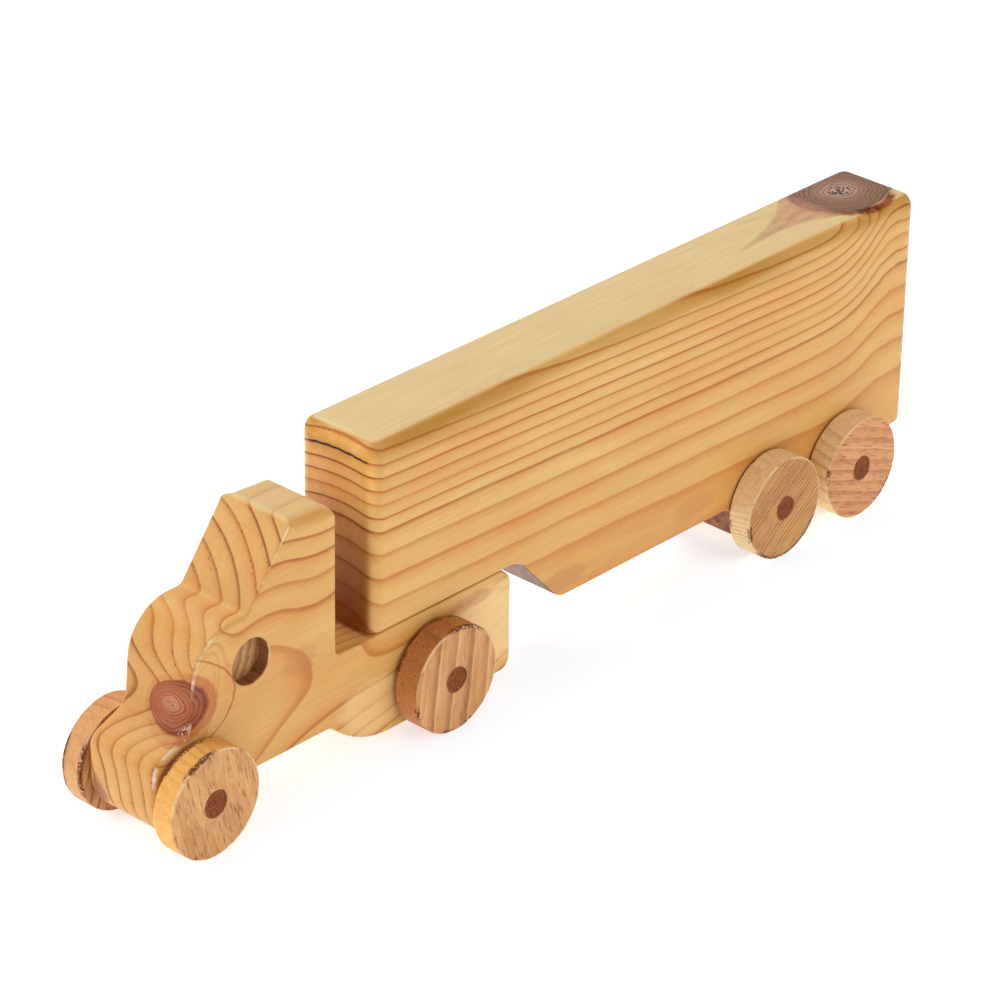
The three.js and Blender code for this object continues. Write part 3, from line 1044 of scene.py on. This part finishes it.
def rim_paint(shader, colour, radius, thickness, crumbled, seed):
    """The rim's edges: pale where worn and with a painted highlight, dark red where crumbled, and
    the gap round the dowel.
    """
    out = shader.x.length_with(shader.z)
    depth = shader.y.math("ABSOLUTE")
    half = thickness / 2
    ragged = shader.noise(shader.point, 0.6, detail=4, seed=seed + 2)
    patches = shader.noise(shader.point, 0.06, detail=1, seed=seed + 5)
    inside = (out + ragged * 1.2).ramp(radius - 1.9, radius - 1.0)
    band = inside * (depth - ragged * 0.8).ramp(half - 2.2, half - 0.9)
    thin = out.ramp(radius - 1.1, radius - 0.6) * depth.ramp(half - 1.0, half - 0.4)
    toward = shader.along(crumbled) / radius + patches * 0.1
    chipped = toward.ramp(0.84, 0.93).math("MAXIMUM", (patches + ragged * 0.2).ramp(0.3, 0.4))
    crumbs = band * chipped * shader.noise(shader.point, 0.9, 3, seed + 8).ramp(-0.3, 0.1)
    worn_and_highlight = (patches + ragged * 0.3).ramp(0.1, -0.1)
    gap = (out + ragged * 0.5).ramp(DOWEL_RADIUS + 0.7, DOWEL_RADIUS + 0.3)
    # The pale line at the rim's arris is partly wear, partly a painted highlight.
    colour = shader.blend(colour, WORN_AND_HIGHLIT_RIM, thin * worn_and_highlight * 0.6)
    colour = shader.blend(colour, PORE, gap * patches.ramp(-0.3, 0.1) * 0.8)
    return shader.blend(colour, CRUMBLED, crumbs * 0.9), crumbs


def dowel_wood(name, axis):
    """A dowel's dark, open end grain, with lengthwise fibres on its sides."""
    shader = Shader(name)
    place = shader.stretched(tuple(0.06 if part else 1 for part in axis))
    fibres = shader.noise(place, 0.9, 4, 1.3)
    specks = shader.cells(place, 1.3, 2.2).ramp(0.5, 0.2)
    mottle = shader.noise(place, 0.8, 4, 5.1).ramp(0.0, 0.25)
    flecks = shader.cells(place, 1.2, 7.1).ramp(0.45, 0.2)
    rings = (shader.along((0.5, 0.1, 0.86)) / 2.1 + fibres * 0.5).math("FRACT").ramp(0.3, 0.95)
    end = shader.facing(axis).ramp(0.5, 0.95)
    colour = shader.blend(DOWEL_SIDE, DOWEL_END, end)
    colour = shader.blend(colour, DOWEL_RING, rings * 0.35)
    colour = shader.blend(colour, PORE, mottle * end * 0.55)
    colour = shader.blend(colour, PORE, specks * (end * 0.7 + 0.1))
    colour = shader.blend(colour, DOWEL_FLECK, flecks * end * 0.4)
    colour = shader.shade(colour, fibres * 0.35 + 1)
    return shader.finish(colour, fibres * 0.1 + 0.62, fibres - specks, 0.12, coat=0.0)


# -------------------------------- floor, light and camera


def add_floor():
    """A wide, flat, pale floor that glows a little, so that it stays white."""
    mesh = bpy.data.meshes.new("floor")
    sides = ((-1, -1), (1, -1), (1, 1), (-1, 1))
    corners = [(x * FLOOR_REACH, y * FLOOR_REACH, 0) for x, y in sides]
    mesh.from_pydata(corners, [], [(0, 1, 2, 3)])
    floor = bpy.data.objects.new("floor", mesh)
    bpy.context.scene.collection.objects.link(floor)
    material = bpy.data.materials.new("paper")
    material.use_nodes = True
    surface = material.node_tree.nodes["Principled BSDF"]
    surface.inputs["Base Color"].default_value = (0.84, 0.9, 0.98, 1)
    surface.inputs["Roughness"].default_value = 0.9
    surface.inputs["Specular IOR Level"].default_value = 0.1
    surface.inputs["Emission Color"].default_value = (0.82, 0.92, 1, 1)
    surface.inputs["Emission Strength"].default_value = 0.6
    mesh.materials.append(material)


def add_light(name, softbox):
    """A square softbox that faces the lorry."""
    lamp = bpy.data.lights.new(name, "AREA")
    lamp.shape = "SQUARE"
    lamp.size = softbox.size
    lamp.energy = softbox.power
    made = bpy.data.objects.new(name, lamp)
    made.location = softbox.place
    made.rotation_euler = (-Vector(softbox.place)).to_track_quat("-Z", "Y").to_euler()
    bpy.context.scene.collection.objects.link(made)


def add_world(strength):
    """Even white light from all round."""
    world = bpy.data.worlds.new("studio")
    world.use_nodes = True
    background = world.node_tree.nodes["Background"]
    background.inputs["Color"].default_value = (1, 1, 1, 1)
    background.inputs["Strength"].default_value = strength
    bpy.context.scene.world = world


def add_camera():
    """The camera at the photo's angle, aimed at the lorry's middle."""
    flat = math.cos(CAMERA_ELEVATION)
    back = Vector((math.sin(CAMERA_AZIMUTH) * flat, -math.cos(CAMERA_AZIMUTH) * flat,
                   math.sin(CAMERA_ELEVATION)))
    right = (-back).cross(Vector((0, 0, 1))).normalized()
    up = right.cross(-back)
    turn_cos, turn_sin = math.cos(CAMERA_ROLL), math.sin(CAMERA_ROLL)
    axes = (right * turn_cos + up * turn_sin, up * turn_cos - right * turn_sin, back)
    lens = bpy.data.cameras.new("camera")
    lens.lens = CAMERA_LENS
    lens.sensor_width = CAMERA_SENSOR
    camera = bpy.data.objects.new("camera", lens)
    pose = Matrix(axes).transposed().to_4x4()
    pose.translation = Vector(CAMERA_AIM) + back * CAMERA_DISTANCE
    camera.matrix_world = pose
    bpy.context.scene.collection.objects.link(camera)
    bpy.context.scene.camera = camera


# -------------------------------- the lorry


def node_place(node):
    """A CAD node's middle from the tail and its size, in millimetres."""
    low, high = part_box(node)
    middle = (low + high) / 2 / MM - Vector((TAIL, 0, 0))
    return middle, (high - low) / MM


def add_blocks():
    """The tractor and the trailer, bored where the CAD's dowels run."""
    places = {name: node_place(f"{name}_axle_dowel")[0] for name in AXLES}
    bores = {name: (place.x, place.z) for name, place in places.items()}
    hitch = places["drive"].x
    tractor = tractor_block([bores["front"], bores["drive"]], hitch)
    pine = body_pine("tractor pine", TRACTOR_GROWTH, TRACTOR_BULGE, TRACTOR_KNOT, tractor_marks)
    finish_piece(tractor, "tractor_block", "tractor", "tractor_body", pine)
    trailer = trailer_block([bores["trailer_front"], bores["trailer_rear"]], hitch)
    pine = body_pine("trailer pine", TRAILER_GROWTH, TRAILER_BULGE, TRAILER_KNOT, trailer_marks)
    finish_piece(trailer, "trailer_block", "trailer", "trailer_body", pine)


def add_pin():
    """The loose upright dowel that joins the trailer to the tractor."""
    middle, size = node_place("hitch_pin")
    pin = dowel(size.z / 2, upright(middle.x, middle.z))
    finish_piece(pin, "hitch_dowel", "hitch_pin", "hitch_pin",
                 dowel_wood("pin dowel", (0, 0, 1)))


def add_axle(name, wood):
    """A dowel and the wheel on each of its ends."""
    middle, size = node_place(f"{name}_axle_dowel")
    rod = dowel(size.y / 2 + DOWEL_PROUD, across(middle.x, middle.z))
    finish_piece(rod, f"{name}_dowel", f"{name}_axle_set", f"{name}_axle_dowel",
                 wood)
    for side in ("left", "right"):
        wheel = f"{name}_{side}"
        middle, size = node_place(f"{wheel}_wheel")
        seed = SEED_STEP * list(WHEEL_CUTS).index(wheel)
        disc = wheel_disc(middle, size.z / 2, size.y, seed)
        pine = wheel_pine(f"{wheel} pine", WHEEL_CUTS[wheel], middle, size.z / 2, size.y, seed)
        finish_piece(disc, f"{wheel}_disc", f"{name}_axle_set", f"{wheel}_wheel",
                     pine)


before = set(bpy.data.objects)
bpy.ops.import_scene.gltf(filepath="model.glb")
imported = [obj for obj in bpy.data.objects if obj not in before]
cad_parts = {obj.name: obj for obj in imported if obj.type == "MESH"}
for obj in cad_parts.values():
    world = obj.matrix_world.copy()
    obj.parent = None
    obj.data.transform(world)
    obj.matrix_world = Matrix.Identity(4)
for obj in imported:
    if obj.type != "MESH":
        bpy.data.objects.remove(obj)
cad_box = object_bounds()
TAIL = cad_box[0].x / MM  # where the tail lies in the frame; the outlines are measured from it

add_camera()
add_floor()
add_world(WORLD_STRENGTH)
for light_name, light_box in SOFTBOXES.items():
    add_light(light_name, light_box)
bpy.context.scene.view_settings.view_transform = "Standard"

add_blocks()
add_pin()
axle_wood = dowel_wood("axle dowel", (0, 1, 0))
for axle_name in AXLES:
    add_axle(axle_name, axle_wood)
